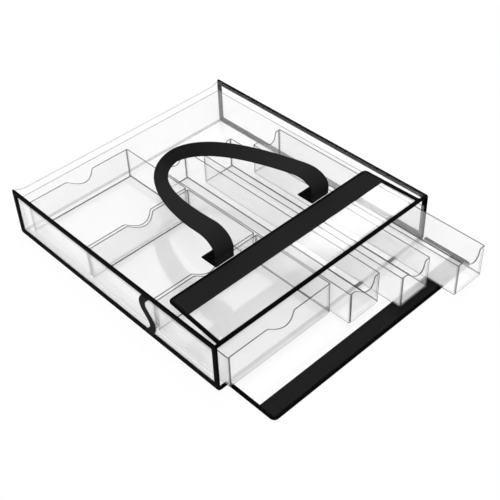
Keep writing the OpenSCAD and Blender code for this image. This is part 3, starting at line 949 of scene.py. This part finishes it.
# Side ribbon: a narrow slack ribbon on the left end, caught under the tape at its top and bottom.
# It has more length than the end is high, so it sways once each way.
RIBBON_W = 9 * MM
RIBBON_SWAY = 7 * MM
RIBBON_STEPS = 40
RIBBON_SECTION = (
    (1, 0), (0.93, 1), (0.8, 0.85), (0, 0.85), (-0.8, 0.85), (-0.93, 1),
    (-1, 0), (-0.93, -1), (0, -1), (0.93, -1),
)
ribbon_low, ribbon_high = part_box("side_ribbon")
ribbon_x = (ribbon_low.x + ribbon_high.x) / 2
ribbon_y = (ribbon_low.y + ribbon_high.y) / 2
ribbon_h = ribbon_high.z - ribbon_low.z
face = Vector(((ribbon_low.x - ribbon_high.x) / 2, 0, 0))
ribbon_rows = []
for z in spread(ribbon_low.z, ribbon_high.z, RIBBON_STEPS):
    turn = 2 * math.pi * (ribbon_high.z - z) / ribbon_h
    slope = -RIBBON_SWAY * math.cos(turn) * 2 * math.pi / ribbon_h
    across = Vector((0, 1, 0)) * RIBBON_W / 2 * math.sqrt(1 + slope * slope)
    centre = Vector((ribbon_x, ribbon_y + RIBBON_SWAY * math.sin(turn), z))
    ribbon_rows.append([centre + across * share + face * up for share, up in RIBBON_SECTION])
skin("end_ribbon", ribbon_rows, [webbing], "case", "webbing", "side_ribbon", crease=60)

# Studio: a white floor, a high soft sun from behind at the right, and a panel that the upper flap mirrors.
# The camera stands where the photograph was taken from, and looks down on the open front.
AZIMUTH = -42.15
ELEVATION = 42.15
ROLL = 2.45
DISTANCE = 1163.52 * MM
LENS_PIXELS = 989.69
IMAGE_PIXELS = 500
SENSOR = 36
AIM_RIGHT = -35.27 * MM
AIM_DOWN = -17.7 * MM
SKY = 0.95
SUN_SHARE = 0.36
SUN_FROM = Vector((15.6, 11.3, 60)).normalized()
SUN_SOFTNESS = 3
FLOOR_TONE = 0.85
FLOOR_WHITE = 0.96
FLOOR_HALF = 6
FLOOR_Z = -0.3 * MM
GLARE_SPOT = Vector((78, -136, 67.5)) * MM
PANEL_AWAY = 1.3
PANEL_SIZE = (0.34, 0.2)
PANEL_GLOW = 4.4


def rays_seen(shade, *kinds):
    """1 for the rays of the given kinds, and 0 for all others."""
    found = shade.node("ShaderNodeLightPath", output=f"Is {kinds[0]} Ray")
    for kind in kinds[1:]:
        found = shade.math("MAXIMUM", found, shade.node("ShaderNodeLightPath", output=f"Is {kind} Ray"))
    return found


azimuth, elevation, roll = (math.radians(turn) for turn in (AZIMUTH, ELEVATION, ROLL))
level_away = math.cos(elevation)
back = Vector((math.sin(azimuth) * level_away, -math.cos(azimuth) * level_away, math.sin(elevation)))
level_right = (-back).cross(UP).normalized()
level_down = (-back).cross(level_right)
right = level_right * math.cos(roll) + level_down * math.sin(roll)
down = level_down * math.cos(roll) - level_right * math.sin(roll)
eye = back * DISTANCE - right * AIM_RIGHT - down * AIM_DOWN
camera = bpy.data.objects.new("camera", bpy.data.cameras.new("camera"))
camera.data.sensor_width = SENSOR
camera.data.lens = LENS_PIXELS / IMAGE_PIXELS * SENSOR
turned = Matrix((right, -down, back)).transposed().to_4x4()
camera.matrix_world = Matrix.Translation(eye) @ turned
bpy.context.scene.collection.objects.link(camera)
bpy.context.scene.camera = camera

floor_finish, shade = new_finish("studio_floor")
seen = rays_seen(shade, "Camera", "Glossy", "Transmission")
matt = shade.node("ShaderNodeBsdfDiffuse", None, {"Color": grey(FLOOR_TONE)})
white = shade.node("ShaderNodeEmission", None, {"Color": grey(1), "Strength": 1})
surface = shade.node("ShaderNodeMixShader", None, {0: seen * FLOOR_WHITE, 1: matt, 2: white})
shade.node("ShaderNodeOutputMaterial", None, {"Surface": surface})
floor_corners = [
    (x * FLOOR_HALF, y * FLOOR_HALF, FLOOR_Z) for x, y in ((-1, -1), (1, -1), (1, 1), (-1, 1))
]
floor_mesh = bpy.data.meshes.new("floor")
floor_mesh.from_pydata(floor_corners, [], [(0, 1, 2, 3)])
floor_mesh.materials.append(floor_finish)
floor = bpy.data.objects.new("floor", floor_mesh)
bpy.context.scene.collection.objects.link(floor)
floor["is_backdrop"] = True

world = bpy.data.worlds.new("studio")
bpy.context.scene.world = world
world.use_nodes = True
world.node_tree.nodes.clear()
shade = Shade(world.node_tree)
brightness = SKY + (1 - SKY) * rays_seen(shade, "Camera", "Glossy")
sky = shade.node("ShaderNodeBackground", None, {"Color": grey(1), "Strength": brightness})
shade.node("ShaderNodeOutputWorld", None, {"Surface": sky})

sun = bpy.data.objects.new("sun", bpy.data.lights.new("sun", "SUN"))
sun.data.energy = SUN_SHARE * math.pi / SUN_FROM.z
sun.data.angle = math.radians(SUN_SOFTNESS)
sun.rotation_mode = "QUATERNION"
sun.rotation_quaternion = SUN_FROM.to_track_quat("Z", "Y")
bpy.context.scene.collection.objects.link(sun)

sight = (GLARE_SPOT - eye).normalized()
mirror_way = sight.reflect(upper.up())
panel = bpy.data.objects.new("soft_panel", bpy.data.lights.new("soft_panel", "AREA"))
panel.data.shape = "RECTANGLE"
panel.data.size, panel.data.size_y = PANEL_SIZE
panel.data.energy = PANEL_GLOW * math.pi * PANEL_SIZE[0] * PANEL_SIZE[1]
panel.location = GLARE_SPOT + mirror_way * PANEL_AWAY
panel.rotation_mode = "QUATERNION"
panel.rotation_quaternion = mirror_way.to_track_quat("Z", "Y")
bpy.context.scene.collection.objects.link(panel)

# Many clear layers lie one behind the other, so light has to pass through more of them than by default.
bpy.context.scene.cycles.transparent_max_bounces = 64
bpy.context.scene.cycles.diffuse_bounces = 8
bpy.context.scene.view_settings.view_transform = "Standard"

low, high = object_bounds()
